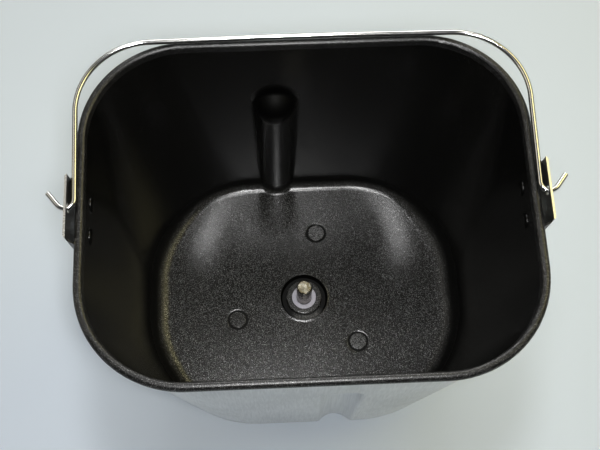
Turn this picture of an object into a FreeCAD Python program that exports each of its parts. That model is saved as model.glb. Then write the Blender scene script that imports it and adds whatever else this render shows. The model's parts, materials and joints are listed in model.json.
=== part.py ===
import FreeCAD, Part
import math
import os
import Sketcher

# Bread pan: the lift-out baking pan of a home bread maker, with its wire bail
# and the sealed drive that turns the kneading paddle.
# Millimetres. +Z is up, +Y is the back, and the origin is on the drive shaft's axis,
# on the surface that the pan stands on.

doc = FreeCAD.newDocument("bread_pan")
Vector = FreeCAD.Vector

# Driving dimensions
sheet = doc.addObject("Spreadsheet::Sheet", "Sizes")
SIZES = [
    # Pan
    ("rim_width", 200.0, "rolled rim, outside, left to right"),
    ("rim_depth", 160.3, "rolled rim, outside, front to back"),
    ("rim_corner", 47.0, "rolled rim, outside corner radius"),
    ("bead", 4.2, "thickness of the rolled rim"),
    ("bead_sunk", 0.3, "part of the roll that lies within the wall line"),
    ("floor_width", 164.0, "inside, where the walls would meet the floor"),
    ("floor_depth", 134.5, "inside, where the walls would meet the floor"),
    ("floor_corner", 58.0, "inside corner radius at the floor"),
    ("floor_round", 5.5, "inside round between floor and walls"),
    ("wall", 1.3, "sheet thickness of the pan"),
    ("stand", 22.0, "underside of the pan above the surface it stands on"),
    ("pan_tall", 138.0, "inside floor to the middle of the rolled rim"),
    ("cut_over", 6.0, "run of a cut past the metal"),
    # Dough ribs
    ("rib_across", 12.3, "rib centre from the middle of its wall"),
    ("rib_round", 10.75, "rib radius, inside the pan"),
    ("rib_crest", 63.0, "rib crest from the shaft axis, at the floor"),
    ("rib_tilt", 1.2, "lean of the rib, degrees"),
    ("rib_straight", 88.0, "floor to the start of the rib's round top"),
    ("rib_under", 20.0, "rib tool below the floor"),
    ("rib_blend", 2.5, "round where a rib runs into its wall"),
    # Middle of the floor
    ("dish_width", 25.8, "pressed dish in the middle of the floor"),
    ("dish_deep", 2.4, "depth of the dish"),
    ("dish_slope", 1.1, "run of the dish's sloping side"),
    ("lip_width", 28.8, "foot of the raised lip round the dish"),
    ("lip_crest", 26.4, "crest of that lip"),
    ("lip_proud", 0.3, "crest above the floor"),
    ("rivet_circle", 76.2, "pitch circle of the three base rivets"),
    ("rivet_angle", 77.2, "first base rivet from +X, degrees"),
    ("rivet_seat", 11.2, "coined seat round a base rivet's head"),
    ("seat_deep", 0.5, "depth of the coined seat"),
    ("seat_mouth", 12.8, "coned mouth of that seat"),
    ("mouth_deep", 0.2, "depth of the coned mouth"),
    ("rivet_head", 9.2, "base rivet head"),
    ("rivet_proud", 0.5, "base rivet head above the floor"),
    ("rivet_shank", 5.0, "base rivet shank"),
    ("rivet_tail", 8.0, "base rivet's formed tail"),
    ("tail_tall", 1.8, "height of the formed tail"),
    ("rivet_bevel", 0.45, "bevel of a base rivet's head"),
    ("tail_bevel", 1.2, "bevel of a rivet's formed tail"),
    ("hole_room", 0.05, "radial room of a hole round its shank"),
    # Base collar
    ("collar_width", 92.0, "outside of the base collar"),
    ("collar_wall", 3.0, "thickness of the collar's skirt"),
    ("web_thick", 4.2, "thickness of the collar's web"),
    ("hub_width", 27.0, "collar's hub round the bearing housing"),
    ("hub_low", 12.5, "underside of the hub"),
    ("boss_width", 11.0, "collar's boss round a rivet"),
    ("boss_low", 14.5, "underside of a rivet boss"),
    ("stay_thick", 2.4, "thickness of a stiffening rib under the web"),
    ("stay_low", 13.5, "underside of a stiffening rib"),
    ("stay_root", 1.0, "run of a stiffening rib into the hub and the skirt"),
    ("lug_reach", 50.0, "bayonet lug, reach from the axis"),
    ("lug_wide", 17.0, "bayonet lug, along the skirt"),
    ("lug_low", 5.0, "underside of a bayonet lug"),
    ("lug_tall", 4.0, "height of a bayonet lug"),
    ("foot_edge", 0.8, "bevel of the collar's foot"),
    # Bearing housing and its seals
    ("head_width", 19.3, "housing head, seen in the floor"),
    ("head_proud", 1.0, "housing head above the floor"),
    ("head_bevel", 0.6, "bevel of the housing head"),
    ("gasket_thick", 0.5, "flat gasket under the housing head"),
    ("gasket_inset", 0.2, "gasket within the edge of the housing head"),
    ("neck_width", 16.4, "housing below its head"),
    ("housing_low", 8.2, "underside of the housing"),
    ("bush_width", 12.0, "outside of a bearing bush"),
    ("bush_long", 4.2, "length of a bearing bush"),
    ("seal_width", 13.2, "seal chamber at the top of the housing"),
    ("chamber_low", 17.3, "floor of the seal chamber"),
    ("clip_groove", 15.0, "groove for the housing's retaining ring"),
    ("clip_low", 11.5, "underside of the retaining ring"),
    ("clip_thick", 1.0, "thickness of the retaining ring"),
    ("clip_width", 20.0, "outside of the retaining ring"),
    ("clip_sweep", 310.0, "arc of a retaining ring, degrees"),
    ("seal_low", 19.4, "underside of the shaft seal"),
    ("seal_tall", 3.2, "height of the shaft seal"),
    ("seal_skin", 0.6, "wall of the shaft seal"),
    ("seal_base", 1.0, "thickness of the seal's flat base"),
    ("lip_relief", 0.4, "seal base clear of the lip line"),
    ("lip_down", 0.3, "seal lip below the top of the seal"),
    ("lip_face", 0.5, "height of the seal lip's face"),
    ("lip_room", 0.05, "radial room between seal lip and shaft"),
    ("garter_wire", 0.6, "garter spring, across its coil"),
    ("garter_down", 1.0, "garter spring below the top of the seal"),
    ("washer_thick", 1.2, "thickness of the pale top washer"),
    # Drive shaft and what turns with it
    ("shaft_width", 9.0, "drive shaft in its bearings"),
    ("paddle_width", 8.0, "shaft's free end, where the paddle slides on"),
    ("paddle_low", 0.6, "start of the free end above the inside floor"),
    ("shaft_low", 0.9, "lower end of the shaft"),
    ("shaft_top", 18.6, "shaft tip above the inside floor"),
    ("tip_bevel", 0.6, "bevel of the shaft's tip"),
    ("flat_deep", 0.9, "depth of the paddle flat"),
    ("flat_turn", 63.0, "direction that the flat faces, from +X, degrees"),
    ("run_room", 0.04, "radial running room of the shaft in its bushes"),
    ("ring_low", 18.1, "underside of the shaft's snap ring"),
    ("ring_thick", 0.9, "thickness of the shaft's snap ring"),
    ("ring_groove", 8.0, "snap ring groove in the shaft"),
    ("ring_width", 12.0, "outside of the shaft's snap ring"),
    ("thrust_thick", 0.6, "thickness of a thrust washer"),
    ("thrust_inset", 0.6, "lower thrust washer within the housing's edge"),
    ("driver_top", 7.2, "top of the drive coupling"),
    ("driver_hub", 15.0, "hub of the drive coupling"),
    ("driver_bevel", 1.0, "bevel of the coupling's lower edge"),
    ("wing_reach", 17.0, "coupling wing, reach from the axis"),
    ("wing_thick", 4.5, "thickness of a coupling wing"),
    ("wing_low", 1.4, "underside of a coupling wing"),
    ("wing_step", 0.6, "coupling wing below the top of its hub"),
    ("pin_width", 3.0, "cross pin of the coupling"),
    ("pin_high", 4.2, "height of the cross pin"),
    ("pin_inset", 0.3, "ends of the cross pin within the hub"),
    # Bail brackets
    ("mount_high", 126.0, "bracket rivets above the inside floor"),
    ("sheet_thick", 1.0, "bracket sheet"),
    ("sheet_bend", 0.6, "inside radius of the bracket's bends"),
    ("plate_wide", 29.4, "bracket's face plate"),
    ("plate_off", 4.5, "room between the wall and the face plate"),
    ("plate_up", 19.6, "face plate above the bracket rivets"),
    ("plate_down", 9.0, "bracket below its rivets"),
    ("foot_gap", 6.4, "gap between the bracket's two feet"),
    ("slope_low", 5.5, "flange top at the wall, above the rivets"),
    ("slope_high", 15.0, "flange top at the face plate, above the rivets"),
    ("eye_width", 4.0, "hole for the bail in the face plate"),
    ("eye_up", 16.3, "hole for the bail above the rivets"),
    ("stud_pitch", 15.4, "distance between a bracket's two rivets"),
    ("stud_width", 4.0, "bracket rivet shank"),
    ("stud_head", 7.2, "bracket rivet head, inside the pan"),
    ("stud_proud", 1.0, "height of that head"),
    ("stud_crown", 1.4, "slope of that head, inwards"),
    ("stud_edge", 0.3, "upright edge of that head"),
    ("stud_tail", 6.2, "bracket rivet's formed tail"),
    ("stud_tail_tall", 1.3, "height of that tail"),
    # Bail
    ("wire", 2.5, "bail wire"),
    ("pivot_high", 141.7, "bail pivot above the inside floor"),
    ("arm_half", 99.7, "arm from the middle plane at the pivot"),
    ("arm_half_back", 101.3, "arm from the middle plane at the bar"),
    ("bar_reach", 80.0, "middle of the bar from the pivot"),
    ("bar_reach_side", 78.7, "bar from the pivot where the arms' lines meet it"),
    ("bar_bow", 1500.0, "radius of the bar's slight bow"),
    ("bail_corner", 33.0, "bail corner radius"),
    ("eye_bend", 2.6, "bend radius from arm to pivot"),
    ("hook_bend", 3.2, "bend radius from pivot to hook"),
    ("hook_side", 111.1, "hook tip from the middle plane"),
    ("hook_reach", 7.1, "hook tip from the pivot"),
    ("hook_foot", 105.6, "where the hook's line meets the pivot line"),
]
for row, (alias, value, note) in enumerate(SIZES, start=1):
    sheet.set(f"A{row}", note)
    sheet.set(f"B{row}", str(value))
    sheet.setAlias(f"B{row}", alias)
doc.recompute()

# Heights that several pieces share, as expressions on the sheet
FLOOR = "(Sizes.stand + Sizes.wall)"
RIM = f"({FLOOR} + Sizes.pan_tall)"
SHAFT_R = "(Sizes.shaft_width / 2)"
MOUTH_WIDTH = "(Sizes.rim_width - 2 * (Sizes.bead - Sizes.bead_sunk))"
# Two lengths this close are one
SAME = 0.01


def size(alias):
    return float(sheet.get(alias))


def place(thing, x="0", y="0", z="0"):
    """Bind where a thing stands."""
    for axis, text in (("x", x), ("y", y), ("z", z)):
        if text != "0":
            thing.setExpression(f"Placement.Base.{axis}", text)


def new_body(name):
    return doc.addObject("PartDesign::Body", name)


def origin_feature(body, role):
    return next(item for item in body.Origin.OriginFeatures if item.Role == role)


def new_sketch(body, name, role, lift="0", turn=0.0):
    """A sketch on one of the body's own planes, lifted off it and turned in it."""
    sketch = body.newObject("Sketcher::SketchObject", name)
    sketch.AttachmentSupport = [(origin_feature(body, role), "")]
    sketch.MapMode = "FlatFace"
    sketch.AttachmentOffset = FreeCAD.Placement(Vector(), FreeCAD.Rotation(Vector(0, 0, 1), turn))
    if lift != "0":
        sketch.setExpression("AttachmentOffset.Base.z", lift)
    return sketch


def bound(sketch, kind, geometry, start, text):
    """Dimension a sketch as it is drawn, then bind that dimension to the sheet."""
    index = sketch.addConstraint(Sketcher.Constraint(kind, *geometry, start))
    name = f"{kind}_{index}"
    sketch.renameConstraint(index, name)
    sketch.setExpression(f"Constraints.{name}", text)


def outline(sketch, corners):
    """A closed outline through corners given as two expressions each, across and up."""
    count = len(corners)
    middle, reach = 30.0, 20.0
    start = [Vector(middle + reach * math.cos(i), middle + reach * math.sin(i), 0) for i in range(count)]
    for i in range(count):
        sketch.addGeometry(Part.LineSegment(start[i], start[(i + 1) % count]), False)
    for i in range(count):
        sketch.addConstraint(Sketcher.Constraint("Coincident", i, 2, (i + 1) % count, 1))
    for i, (across, up) in enumerate(corners):
        pair = ("DistanceX", start[i].x, across, -2), ("DistanceY", start[i].y, up, -1)
        for kind, drawn, text, axis in pair:
            if text == "0":
                sketch.addConstraint(Sketcher.Constraint("PointOnObject", i, 1, axis))
            else:
                bound(sketch, kind, (-1, 1, i, 1), drawn, text)


def rounded_outline(sketch, width, depth, corner):
    """A closed outline round the origin: width along X, depth along Y and four equal corners."""
    half_x, half_y, radius = 90.0, 70.0, 45.0
    flat_x, flat_y = half_x - radius, half_y - radius
    sides = [((-flat_x, -half_y), (flat_x, -half_y)), ((half_x, -flat_y), (half_x, flat_y)),
             ((flat_x, half_y), (-flat_x, half_y)), ((-half_x, flat_y), (-half_x, -flat_y))]
    for first, last in sides:
        sketch.addGeometry(Part.LineSegment(Vector(*first, 0), Vector(*last, 0)), False)
    for i, (x, y) in enumerate([(flat_x, -flat_y), (flat_x, flat_y), (-flat_x, flat_y), (-flat_x, -flat_y)]):
        circle = Part.Circle(Vector(x, y, 0), Vector(0, 0, 1), radius)
        turn = (i - 1) * math.pi / 2
        sketch.addGeometry(Part.ArcOfCircle(circle, turn, turn + math.pi / 2), False)
    for i in range(4):
        sketch.addConstraint(Sketcher.Constraint("Tangent", i, 2, 4 + i, 1))
        sketch.addConstraint(Sketcher.Constraint("Tangent", 4 + i, 2, (i + 1) % 4, 1))
    for i in (5, 6, 7):
        sketch.addConstraint(Sketcher.Constraint("Equal", 4, i))
    sketch.addConstraint(Sketcher.Constraint("Horizontal", 2))
    sketch.addConstraint(Sketcher.Constraint("Vertical", 3))
    sketch.addConstraint(Sketcher.Constraint("Symmetric", 0, 1, 0, 2, -2))
    sketch.addConstraint(Sketcher.Constraint("Symmetric", 1, 1, 1, 2, -1))
    bound(sketch, "DistanceX", (-1, 1, 1, 1), half_x, f"{width} / 2")
    bound(sketch, "DistanceY", (-1, 1, 2, 1), half_y, f"{depth} / 2")
    bound(sketch, "Radius", (4,), radius, corner)


def slab_outline(sketch, near, far, width):
    """A rectangle along the sketch's own X, from near to far, centred on that axis."""
    low, high, half = 10.0, 20.0, 3.0
    ends = [Vector(low, -half, 0), Vector(high, -half, 0), Vector(high, half, 0), Vector(low, half, 0)]
    for i in range(4):
        sketch.addGeometry(Part.LineSegment(ends[i], ends[(i + 1) % 4]), False)
    for i in range(4):
        sketch.addConstraint(Sketcher.Constraint("Coincident", i, 2, (i + 1) % 4, 1))
    for i in (0, 2):
        sketch.addConstraint(Sketcher.Constraint("Horizontal", i))
    sketch.addConstraint(Sketcher.Constraint("Symmetric", 1, 1, 1, 2, -1))
    sketch.addConstraint(Sketcher.Constraint("Vertical", 3))
    bound(sketch, "DistanceX", (-1, 1, 0, 1), low, near)
    bound(sketch, "DistanceX", (-1, 1, 1, 1), high, far)
    bound(sketch, "DistanceY", (1, 1, 1, 2), 2 * half, width)


def round_outline(sketch, radius, x="0", y="0"):
    """A circle whose centre is bound where it isn't on an axis."""
    drawn_at, drawn_radius = 10.0, 2.0
    centre = Vector(drawn_at, drawn_at, 0)
    circle = sketch.addGeometry(Part.Circle(centre, Vector(0, 0, 1), drawn_radius), False)
    for kind, text, axis in (("DistanceX", x, -2), ("DistanceY", y, -1)):
        if text == "0":
            sketch.addConstraint(Sketcher.Constraint("PointOnObject", circle, 3, axis))
        else:
            bound(sketch, kind, (-1, 1, circle, 3), drawn_at, text)
    bound(sketch, "Radius", (circle,), drawn_radius, radius)


def turned(name, corners, axis="V_Axis", body=None):
    """A piece turned from its half section, whose corners are (radius, height)."""
    body = body or new_body(name)
    sketch = new_sketch(body, f"{name}_section", "XZ_Plane")
    outline(sketch, corners)
    spin = body.newObject("PartDesign::Revolution", f"{name}_turned")
    spin.Profile = sketch
    spin.ReferenceAxis = (sketch, [axis])
    spin.Angle = 360
    body.Tip = spin
    return body


def ring(name, bore, outside, low, tall):
    """A plain turned ring, its bore and outside given as radii."""
    top = f"{low} + {tall}"
    return turned(name, [(bore, low), (outside, low), (outside, top), (bore, top)])


def padded(body, sketch, name, length, back=False):
    pad = body.newObject("PartDesign::Pad", name)
    pad.Profile = sketch
    pad.setExpression("Length", length)
    pad.Reversed = back
    body.Tip = pad
    return pad


def repeated(body, feature, name, count):
    """Repeat a feature round the body's Z axis."""
    pattern = body.newObject("PartDesign::PolarPattern", name)
    pattern.Originals = [feature]
    pattern.Axis = (origin_feature(body, "Z_Axis"), [""])
    pattern.Angle = 360
    pattern.Occurrences = count
    body.Tip = pattern
    return pattern


def bored(body, sketch, name):
    """Cut a sketch right through a body, both ways from its plane."""
    doc.recompute()
    before = body.Shape.Volume
    cut = body.newObject("PartDesign::Pocket", name)
    cut.Profile = sketch
    cut.Type = "ThroughAll"
    cut.Midplane = True
    body.Tip = cut
    doc.recompute()
    if body.Shape.Volume >= before:
        raise RuntimeError(f"{name} cuts nothing")
    return cut


def joined(kind, name, base, tool):
    """A boolean of two objects: Part::Cut, Part::Fuse or Part::Common."""
    result = doc.addObject(kind, name)
    result.Base = base
    result.Tool = tool
    return result


def group(kind, name, members):
    result = doc.addObject(kind, name)
    setattr(result, "Links" if kind == "Part::Compound" else "Shapes", members)
    return result


def mirrored(name, source):
    """The same piece on the left side."""
    twin = doc.addObject("Part::Mirroring", name)
    twin.Source = source
    twin.Normal = Vector(1, 0, 0)
    return twin


# Pan shell: one drawn sheet whose corners tighten from a round floor outline to the rim

def level_corners(width, depth, corner, height):
    """A level outline round the axis: each corner's arc start, sharp point and arc end."""
    half_x, half_y = width / 2, depth / 2
    corners = []
    for turn in range(4):
        across, along = (half_x, half_y) if turn % 2 == 0 else (half_y, half_x)
        spin = FreeCAD.Rotation(Vector(0, 0, 1), 90 * turn)
        stops = [Vector(across - corner, -along, 0), Vector(across, -along, 0),
                 Vector(across, corner - along, 0)]
        corners.append([spin.multVec(stop) + Vector(0, 0, height) for stop in stops])
    return corners


def tub(name, low, top, bottom_round):
    """A solid tub between two level outlines: flat sides, conical corners and a rounded bottom edge."""
    low_corners, top_corners = level_corners(*low), level_corners(*top)
    arc_weights = [[1, 1], [math.sqrt(0.5), math.sqrt(0.5)], [1, 1]]
    faces = []
    for under, over, next_under, next_over in zip(low_corners, top_corners, low_corners[1:] + low_corners[:1],
                                                  top_corners[1:] + top_corners[:1]):
        bend = Part.BSplineSurface()
        bend.buildFromPolesMultsKnots(list(zip(under, over)), [3, 3], [2, 2], [0, 1], [0, 1], False, False,
                                      2, 1, arc_weights)
        faces.append(bend.toShape())
        faces.append(Part.Face(Part.makePolygon([under[2], next_under[0], next_over[0], over[2], under[2]])))
    for level in (low[3], top[3]):
        rim = [edge for face in faces for edge in face.Edges if edge.BoundBox.ZLength < SAME
               and abs(edge.BoundBox.ZMin - level) < SAME]
        faces.append(Part.Face(Part.Wire(Part.__sortEdges__(rim))))
    skin = Part.makeShell(faces)
    skin.sewShape()
    solid = Part.Solid(skin)
    if solid.Volume < 0:
        solid.reverse()
    bottom = [edge for edge in solid.Edges if edge.BoundBox.ZMax < low[3] + SAME]
    feature = doc.addObject("Part::Feature", name)
    feature.Shape = solid.makeFillet(bottom_round, bottom)
    return feature


def rib_tool(name, radius, side):
    """The round-topped form that presses a dough rib into the back (1) or front (-1) wall."""
    body = new_body(name)
    stem = body.newObject("PartDesign::AdditiveCylinder", f"{name}_stem")
    stem.setExpression("Radius", radius)
    stem.setExpression("Height", "Sizes.rib_under + Sizes.rib_straight")
    place(stem, z="-Sizes.rib_under")
    dome = body.newObject("PartDesign::AdditiveSphere", f"{name}_dome")
    dome.setExpression("Radius", radius)
    place(dome, z="Sizes.rib_straight")
    body.Tip = dome
    body.Placement = FreeCAD.Placement(Vector(), FreeCAD.Rotation(Vector(1, 0, 0), 1.0))
    body.setExpression("Placement.Rotation.Angle", f"{-side} * Sizes.rib_tilt * 1 deg")
    place(body, f"{-side} * Sizes.rib_across", f"{side} * (Sizes.rib_crest + Sizes.rib_round)", FLOOR)
    return body


def ribbed(name, solid, radius):
    """A tub with both ribs pressed in and blended into its walls."""
    tools = [rib_tool(f"{name}_rib_{word}", radius, side) for word, side in (("back", 1), ("front", -1))]
    pressed = joined("Part::Cut", f"{name}_pressed", solid, group("Part::MultiFuse", f"{name}_ribs", tools))
    doc.recompute()
    rib_radius = tools[0].Shape.Faces[0].Surface.Radius
    blends = []
    for index, edge in enumerate(pressed.Shape.Edges, start=1):
        faces = pressed.Shape.ancestorsOfType(edge, Part.Face)
        on_rib = [abs(getattr(face.Surface, "Radius", 0) - rib_radius) < SAME for face in faces]
        level = edge.BoundBox.ZLength < SAME
        if on_rib.count(True) == 1 and not level:
            blends.append((index, size("rib_blend"), size("rib_blend")))
    blended = doc.addObject("Part::Fillet", f"{name}_blended")
    blended.Base = pressed
    blended.Edges = blends
    doc.recompute()
    return blended


def cone(name, low_radius, top_radius, low, tall, x="0", y="0"):
    piece = doc.addObject("Part::Cone", name)
    piece.setExpression("Radius1", low_radius)
    piece.setExpression("Radius2", top_radius)
    piece.setExpression("Height", tall)
    place(piece, x, y, low)
    return piece


def drum(name, radius, low, tall, x="0", y="0"):
    piece = doc.addObject("Part::Cylinder", name)
    piece.setExpression("Radius", radius)
    piece.setExpression("Height", tall)
    place(piece, x, y, low)
    return piece


def rivet_place(index):
    """Where a base rivet stands on its pitch circle."""
    angle = f"((Sizes.rivet_angle + {120 * index}) * 1 deg)"
    return f"Sizes.rivet_circle / 2 * cos({angle})", f"Sizes.rivet_circle / 2 * sin({angle})"


wall, floor_z = size("wall"), size("stand") + size("wall")
rim_z = floor_z + size("pan_tall")
bead_in = size("bead") - size("bead_sunk")
floor_outline = [size("floor_width"), size("floor_depth"), size("floor_corner")]
mouth_outline = [size("rim_width") - 2 * bead_in, size("rim_depth") - 2 * bead_in,
                 size("rim_corner") - bead_in]
grown = [2 * wall, 2 * wall, wall]
rise = size("cut_over") / size("pan_tall")
over_outline = [top + (top - low) * rise for low, top in zip(floor_outline, mouth_outline)]
outside = tub("pan_outside", [low + more for low, more in zip(floor_outline, grown)] + [size("stand")],
              [top + more for top, more in zip(mouth_outline, grown)] + [rim_z], size("floor_round") + wall)
cavity = tub("pan_cavity", floor_outline + [floor_z], over_outline + [rim_z + size("cut_over")],
             size("floor_round"))
outside_ribbed = ribbed("pan_outside", outside, "Sizes.rib_round - Sizes.wall")
cavity_ribbed = ribbed("pan_cavity", cavity, "Sizes.rib_round")

roll = new_body("rim_roll")
roll_path = new_sketch(roll, "rim_roll_path", "XY_Plane", RIM)
rounded_outline(roll_path, "(Sizes.rim_width - Sizes.bead)", "(Sizes.rim_depth - Sizes.bead)",
                "Sizes.rim_corner - Sizes.bead / 2")
roll_section = new_sketch(roll, "rim_roll_section", "XZ_Plane")
round_outline(roll_section, "Sizes.bead / 2", "(Sizes.rim_width - Sizes.bead) / 2", RIM)
roll_pipe = roll.newObject("PartDesign::AdditivePipe", "rim_roll_pipe")
roll_pipe.Profile = roll_section
roll_pipe.Spine = (roll_path, [f"Edge{i}" for i in range(1, 9)])
roll.Tip = roll_pipe
doc.recompute()

dish_top, dish_low = "Sizes.dish_width / 2", "Sizes.dish_width / 2 - Sizes.dish_slope"
dish_under = cone("dish_under", f"{dish_low} + Sizes.wall", f"{dish_top} + Sizes.wall",
                  "Sizes.stand - Sizes.dish_deep", "Sizes.dish_deep")
dish = cone("dish", dish_low, dish_top, f"{FLOOR} - Sizes.dish_deep", "Sizes.dish_deep")
dish_lip = cone("dish_lip", "Sizes.lip_width / 2", "Sizes.lip_crest / 2", FLOOR, "Sizes.lip_proud")
dish_mouth = drum("dish_mouth", dish_top, FLOOR, "2 * Sizes.lip_proud")
neck_hole = drum("neck_hole", "Sizes.neck_width / 2 + Sizes.hole_room", "Sizes.stand - Sizes.cut_over",
                 "2 * Sizes.cut_over")
floor_cuts = [dish, dish_mouth, neck_hole]
for index in range(3):
    x, y = rivet_place(index)
    floor_cuts.append(drum(f"rivet_seat_{index}", "Sizes.rivet_seat / 2", f"{FLOOR} - Sizes.seat_deep",
                           "Sizes.seat_deep", x, y))
    floor_cuts.append(cone(f"seat_mouth_{index}", "Sizes.rivet_seat / 2", "Sizes.seat_mouth / 2",
                           f"{FLOOR} - Sizes.mouth_deep", "Sizes.mouth_deep", x, y))
    floor_cuts.append(drum(f"rivet_hole_{index}", "Sizes.rivet_shank / 2 + Sizes.hole_room",
                           "Sizes.stand - Sizes.cut_over", "2 * Sizes.cut_over", x, y))

# Place of the brackets: on the outside of the side walls, leaning with them
LEAN = f"(({MOUTH_WIDTH} - Sizes.floor_width) / 2 / (Sizes.pan_tall + Sizes.wall))"
WALL_X = f"(Sizes.floor_width / 2 + Sizes.wall + {LEAN} * (Sizes.mount_high + Sizes.wall))"
MOUNT_Z = f"({FLOOR} + Sizes.mount_high)"


def lean_on_wall(thing):
    """Stand a thing on the right wall: its X points out of the wall and its Z up along it."""
    thing.Placement = FreeCAD.Placement(Vector(), FreeCAD.Rotation(Vector(0, 1, 0), 1.0))
    thing.setExpression("Placement.Rotation.Angle", f"atan({LEAN})")
    place(thing, WALL_X, "0", MOUNT_Z)


def stud_holes():
    """The right wall's two rivet holes."""
    body = new_body("stud_holes")
    sketch = new_sketch(body, "stud_holes_section", "YZ_Plane", "-2 * Sizes.wall")
    round_outline(sketch, "Sizes.stud_width / 2 + Sizes.hole_room", "Sizes.stud_pitch / 2")
    pad = padded(body, sketch, "stud_holes_pad", "4 * Sizes.wall")
    twin = body.newObject("PartDesign::Mirrored", "stud_holes_pair")
    twin.Originals = [pad]
    twin.MirrorPlane = (origin_feature(body, "XZ_Plane"), [""])
    body.Tip = twin
    lean_on_wall(body)
    return body


right_stud_holes = stud_holes()
left_stud_holes = mirrored("left_stud_holes", right_stud_holes)
pan_solid = group("Part::MultiFuse", "pan_solid", [outside_ribbed, roll, dish_under])
hollow = joined("Part::Cut", "pan_hollow", pan_solid, cavity_ribbed)
lipped = joined("Part::Fuse", "pan_lipped", hollow, dish_lip)
pan_shell = joined("Part::Cut", "pan_shell", lipped, group(
    "Part::MultiFuse", "pan_cuts", floor_cuts + [right_stud_holes, left_stud_holes]))
doc.recompute()

# Base collar: a die-cast ring with a web, hub, rivet bosses, stiffening ribs and bayonet lugs
collar_r, skirt_r = "Sizes.collar_width / 2", "(Sizes.collar_width / 2 - Sizes.collar_wall)"
neck_r = "(Sizes.neck_width / 2 + Sizes.hole_room)"
dish_seat = "(Sizes.stand - Sizes.dish_deep)"
dish_clear = "(Sizes.dish_width / 2 + 2 * Sizes.wall)"
web_low = "(Sizes.stand - Sizes.web_thick)"
base_collar = turned("base_collar", [
    (neck_r, "Sizes.hub_low"), ("Sizes.hub_width / 2", "Sizes.hub_low"), ("Sizes.hub_width / 2", web_low),
    (skirt_r, web_low), (skirt_r, "Sizes.foot_edge"), (f"{skirt_r} + Sizes.foot_edge", "0"),
    (f"{collar_r} - Sizes.foot_edge", "0"), (collar_r, "Sizes.foot_edge"), (collar_r, "Sizes.stand"),
    (dish_clear, "Sizes.stand"), (dish_clear, dish_seat), (neck_r, dish_seat)])
boss_sketch = new_sketch(base_collar, "boss_section", "XY_Plane", "Sizes.boss_low")
round_outline(boss_sketch, "Sizes.boss_width / 2", *rivet_place(0))
boss = padded(base_collar, boss_sketch, "boss", f"{web_low} - Sizes.boss_low + Sizes.web_thick / 2")
repeated(base_collar, boss, "bosses", 3)
stay_turn = size("rivet_angle") + 60
stay_sketch = new_sketch(base_collar, "stay_section", "XY_Plane", "Sizes.stay_low", stay_turn)
slab_outline(stay_sketch, "Sizes.hub_width / 2 - Sizes.stay_root", f"{skirt_r} + Sizes.stay_root",
             "Sizes.stay_thick")
stay = padded(base_collar, stay_sketch, "stay", f"{web_low} - Sizes.stay_low + Sizes.web_thick / 2")
repeated(base_collar, stay, "stays", 3)
lug_sketch = new_sketch(base_collar, "lug_section", "XY_Plane", "Sizes.lug_low", stay_turn)
slab_outline(lug_sketch, f"{collar_r} - Sizes.collar_wall", "Sizes.lug_reach", "Sizes.lug_wide")
lug = padded(base_collar, lug_sketch, "lug", "Sizes.lug_tall")
repeated(base_collar, lug, "lugs", 3)
hole_sketch = new_sketch(base_collar, "rivet_bore_section", "XY_Plane", web_low)
round_outline(hole_sketch, "Sizes.rivet_shank / 2 + Sizes.hole_room", *rivet_place(0))
repeated(base_collar, bored(base_collar, hole_sketch, "rivet_bore"), "rivet_bores", 3)

# Base rivets: flat coated heads in the pan, shanks through floor and collar, tails formed below
base_rivet_bodies = []
for index in range(3):
    name = f"base_rivet_{index}"
    head_low = f"{FLOOR} - Sizes.seat_deep"
    head_top = f"({FLOOR} + Sizes.rivet_proud)"
    tail_low = "Sizes.boss_low - Sizes.tail_tall"
    rivet = turned(name, [
        ("0", head_top), ("0", tail_low), ("Sizes.rivet_tail / 2 - Sizes.tail_bevel", tail_low),
        ("Sizes.rivet_tail / 2", "Sizes.boss_low - Sizes.tail_tall / 2"),
        ("Sizes.rivet_tail / 2", "Sizes.boss_low"),
        ("Sizes.rivet_shank / 2", "Sizes.boss_low"), ("Sizes.rivet_shank / 2", head_low),
        ("Sizes.rivet_head / 2", head_low), ("Sizes.rivet_head / 2", f"{head_top} - Sizes.rivet_bevel"),
        ("Sizes.rivet_head / 2 - Sizes.rivet_bevel", head_top)])
    place(rivet, *rivet_place(index))
    base_rivet_bodies.append(rivet)
base_rivets = group("Part::Compound", "base_rivets", base_rivet_bodies)

# Bearing housing: a turned sleeve with a broad head, let in from above onto its gasket
head_r, chamber_r, bush_r = "Sizes.head_width / 2", "Sizes.seal_width / 2", "Sizes.bush_width / 2"
head_low = f"({FLOOR} - Sizes.dish_deep + Sizes.gasket_thick)"
head_top = f"({FLOOR} + Sizes.head_proud)"
neck = "Sizes.neck_width / 2"
groove_r = "Sizes.clip_groove / 2"
clip_top = "Sizes.clip_low + Sizes.clip_thick"
bearing_housing = turned("bearing_housing", [
    (bush_r, "Sizes.housing_low"), (neck, "Sizes.housing_low"), (neck, "Sizes.clip_low"),
    (groove_r, "Sizes.clip_low"), (groove_r, clip_top), (neck, clip_top), (neck, head_low),
    (head_r, head_low), (head_r, f"{head_top} - Sizes.head_bevel"),
    (f"{head_r} - Sizes.head_bevel", head_top), (chamber_r, head_top), (chamber_r, "Sizes.chamber_low"),
    (bush_r, "Sizes.chamber_low")])
housing_gasket = ring("housing_gasket", neck_r, f"{head_r} - Sizes.gasket_inset",
                      f"{FLOOR} - Sizes.dish_deep", "Sizes.gasket_thick")


def split_ring(name, bore, outside, low, thick):
    """A snap ring with a gap, as used in a turned groove."""
    sweep = "Sizes.clip_sweep * 1 deg"
    disc = drum(f"{name}_disc", outside, low, thick)
    disc.setExpression("Angle", sweep)
    return joined("Part::Cut", name, disc, drum(f"{name}_bore", bore, low, thick))


housing_retaining_ring = split_ring("housing_retaining_ring", f"{groove_r} + Sizes.hole_room",
                                    "Sizes.clip_width / 2", "Sizes.clip_low", "Sizes.clip_thick")

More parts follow.
